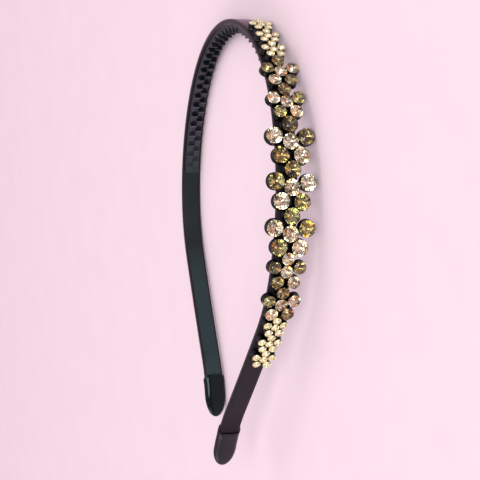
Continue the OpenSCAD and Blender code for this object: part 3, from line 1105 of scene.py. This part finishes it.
class HEADBAND_OT_stones(bpy.types.Operator):
    """Makes the cut stones with their tables, crown facets and foiled backs"""

    bl_idname = "headband.stones"
    bl_label = "Cut stones"

    def stone(self, looks):
        """A round brilliant of radius 1 about its girdle, one face for each facet."""
        half, step = looks.girdle / 2, math.radians(360 / 16)
        # The side corners of the crown's and the back's kites lie at these radii.
        crown_corner, back_corner = 0.78, 0.2

        def crown_height(radius):
            return half + looks.crown * (1 - radius * math.cos(step)) / (1 - looks.table)

        def back_height(radius):
            return -half - looks.pavilion * (1 - radius * math.cos(step))

        def ring(radius, height, start, count):
            angles = [(start + number * 16 // count) * step for number in range(count)]
            return [(radius * math.cos(angle), radius * math.sin(angle), height) for angle in angles]

        # The table's corners, the crown's, the girdle's upper and lower ones, the back's, the point.
        points = [
            *ring(looks.table, half + looks.crown, 0, 8),
            *ring(crown_corner, crown_height(crown_corner), 1, 8),
            *ring(1, half, 0, 16),
            *ring(1, -half, 0, 16),
            *ring(back_corner, back_height(back_corner), 1, 8),
            (0, 0, -half - looks.pavilion),
        ]
        # The numbers of these points, in the same order.
        table, crown, upper = range(8), range(8, 16), range(16, 32)
        lower, pavilion, culet = range(32, 48), range(48, 56), 56
        front, back = [tuple(table)], []
        for this in range(8):
            after, before = (this + 1) % 8, this - 1
            near, middle, far = 2 * this, 2 * this + 1, 2 * after
            front += [
                (table[this], crown[this], table[after]),
                (table[this], crown[before], upper[near], crown[this]),
                (crown[this], upper[near], upper[middle]),
                (crown[this], upper[middle], upper[far]),
                (upper[near], lower[near], lower[middle], upper[middle]),
                (upper[middle], lower[middle], lower[far], upper[far]),
            ]
            back += [
                (culet, pavilion[this], lower[near], pavilion[before]),
                (pavilion[this], lower[middle], lower[near]),
                (pavilion[this], lower[far], lower[middle]),
            ]
        mesh = mesh_of("stone", points, front + back)
        backed = mesh.attributes.new("backed", "BOOLEAN", "FACE")
        backed.data.foreach_set("value", [False] * len(front) + [True] * len(back))
        return mesh

    def execute(self, context):
        looks, shape = context.scene.headband_stones, context.scene.headband_flower
        glass = {
            "c": cut_glass("champagne_crystal_glass", looks.champagne),
            "o": cut_glass("olive_crystal_glass", looks.olive),
        }
        foil = {
            "c": mirror_foil("champagne_stone_foil", looks.champagne_foil, CHAMPAGNE_FLASHES),
            "small": mirror_foil("small_stone_foil", looks.small_foil, CHAMPAGNE_FLASHES),
            "o": mirror_foil("olive_stone_foil", looks.olive_foil, OLIVE_FLASHES),
        }
        chance = random.Random(looks.seed)
        stone = hidden_shape(self.stone(looks))
        for number, flower in enumerate(FLOWERS, 1):
            _, size, _, kinds = flower
            is_small = size == "small"
            places = {"c": [], "o": []}
            for kind, matrix in zip(kinds, stone_places(flower)):
                # A stone is glued in at any turn, and leans by up to a degree in its cup.
                lean_x = math.radians(chance.uniform(-1, 1))
                lean_y = math.radians(chance.uniform(-1, 1))
                spin = Euler((lean_x, lean_y, chance.uniform(0, 2 * math.pi)))
                seated = matrix @ Matrix.Translation((0, 0, shape.girdle))
                places[kind].append((seated @ spin.to_matrix().to_4x4(), (1, 1, 1)))
            for kind, found in places.items():
                if not found:
                    continue
                parts = {
                    "Shape": stone,
                    "Size": shape.stones[SIZES[size]],
                    "Seed": looks.seed + number,
                    "Least flash": looks.small_least if is_small else 0.0,
                    "Most flash": looks.small_most if is_small else 1.0,
                    "Material": glass[kind],
                    "Back material": foil["small" if is_small else kind],
                }
                mesh = grown(points_mesh(found), "set_on_points", parts, kept=("flash",))
                name = f"flower_{number:02d}_{STONE_KINDS[kind]}"
                slot = STONE_KINDS[kind] + "_crystal"
                piece(name + "_crystals", mesh, slot, name + "_stones")
        return {"FINISHED"}


class HEADBAND_OT_stage(bpy.types.Operator):
    """Sets up the pale floor, the soft lights and the camera"""

    bl_idname = "headband.stage"
    bl_label = "Stage"

    def soft_light(self, name, watts, size, place):
        """A large square light that faces the headband."""
        lamp = bpy.data.lights.new(name, "AREA")
        lamp.energy, lamp.size = watts, size
        light = bpy.data.objects.new(name, lamp)
        light.location = place
        aim = Vector((0, 0, 0.01))
        light.rotation_euler = (Vector(place) - aim).to_track_quat("Z", "Y").to_euler()
        bpy.context.scene.collection.objects.link(light)

    def execute(self, context):
        looks = context.scene.headband_stage
        # The floor reaches so far, in metres, that no edge of it shows in a low view.
        reach, level = 12.0, -0.1 * MM
        corners = [(x * reach, y * reach, level) for x, y in ((-1, -1), (1, -1), (1, 1), (-1, 1))]
        floor = bpy.data.objects.new("floor", mesh_of("floor", corners, [(0, 1, 2, 3)]))
        # Matt paper spreads the light evenly and mirrors next to nothing.
        paper = rippled_skin(
            "pale_matt_paper", looks.floor, roughness=0.95,
            grain=3 * MM, relief=0.01 * MM, mottle=0.01, specular=0.1,
        )[0]
        floor.data.materials.append(paper)
        context.scene.collection.objects.link(floor)

        world = bpy.data.worlds.new("studio")
        world.use_nodes = True
        light = {"Color": looks.backdrop, "Strength": looks.backdrop_strength}
        connect(world.node_tree.nodes["Background"], light)
        context.scene.world = world
        # The plain display transform keeps the pale floor pale and the blacks deep.
        context.scene.view_settings.view_transform = "Standard"
        # Light goes to and fro in a cut stone many times before it comes out.
        context.scene.cycles.glossy_bounces = 12
        # Each light's power, the length of its side and its place.
        self.soft_light("key_softbox", looks.key_power, 1.35, (2.0, 0.53, 1.2))
        self.soft_light("side_softbox", looks.fill_power, 1.0, (0.6, -1.5, 0.9))
        self.soft_light("top_softbox", looks.top_power, 2.0, (-0.4, 0.3, 1.8))

        level_part = math.cos(looks.elevation)
        view = Vector(
            (
                level_part * math.cos(looks.azimuth),
                level_part * math.sin(looks.azimuth),
                math.sin(looks.elevation),
            )
        )
        camera = bpy.data.objects.new("camera", bpy.data.cameras.new("camera"))
        camera.data.lens = looks.lens
        camera.data.sensor_width = 36
        camera.data.clip_start = 0.01
        camera.matrix_world = (
            Matrix.Translation(Vector(looks.target) + view * looks.distance)
            @ view.to_track_quat("Z", "Y").to_matrix().to_4x4()
            @ Matrix.Rotation(looks.roll, 4, "Z")
        )
        context.scene.collection.objects.link(camera)
        context.scene.camera = camera
        return {"FINISHED"}


class HEADBAND_PT_parts(bpy.types.Panel):
    """Lists the steps that make the headband"""

    bl_label = "Crystal headband"
    bl_idname = "HEADBAND_PT_parts"
    bl_space_type = "VIEW_3D"
    bl_region_type = "UI"
    bl_category = "Headband"

    def draw(self, context):
        for step in STEPS:
            self.layout.operator(step.bl_idname)
        for scene_name, group in GROUPS.items():
            box = self.layout.box()
            box.label(text=group.__doc__)
            for name in group.__annotations__:
                box.prop(getattr(context.scene, scene_name), name)


STEPS = (
    HEADBAND_OT_stage,
    HEADBAND_OT_band,
    HEADBAND_OT_comb,
    HEADBAND_OT_end_caps,
    HEADBAND_OT_cups,
    HEADBAND_OT_stones,
)
GROUPS = {
    "headband_hoop": HoopShape,
    "headband_band": BandLooks,
    "headband_comb": CombLooks,
    "headband_caps": CapLooks,
    "headband_flower": FlowerShape,
    "headband_stones": StoneLooks,
    "headband_stage": StageLooks,
}


def register():
    for name, group in GROUPS.items():
        bpy.utils.register_class(group)
        setattr(bpy.types.Scene, name, PointerProperty(type=group))
    for step in (*STEPS, HEADBAND_PT_parts):
        bpy.utils.register_class(step)


def unregister():
    for step in (HEADBAND_PT_parts, *reversed(STEPS)):
        bpy.utils.unregister_class(step)
    for name, group in reversed(GROUPS.items()):
        delattr(bpy.types.Scene, name)
        bpy.utils.unregister_class(group)


def main():
    register()
    bpy.ops.headband.stage()
    bpy.ops.headband.band()
    bpy.ops.headband.comb()
    bpy.ops.headband.end_caps()
    bpy.ops.headband.cups()
    bpy.ops.headband.stones()


if __name__ == "__main__":
    main()
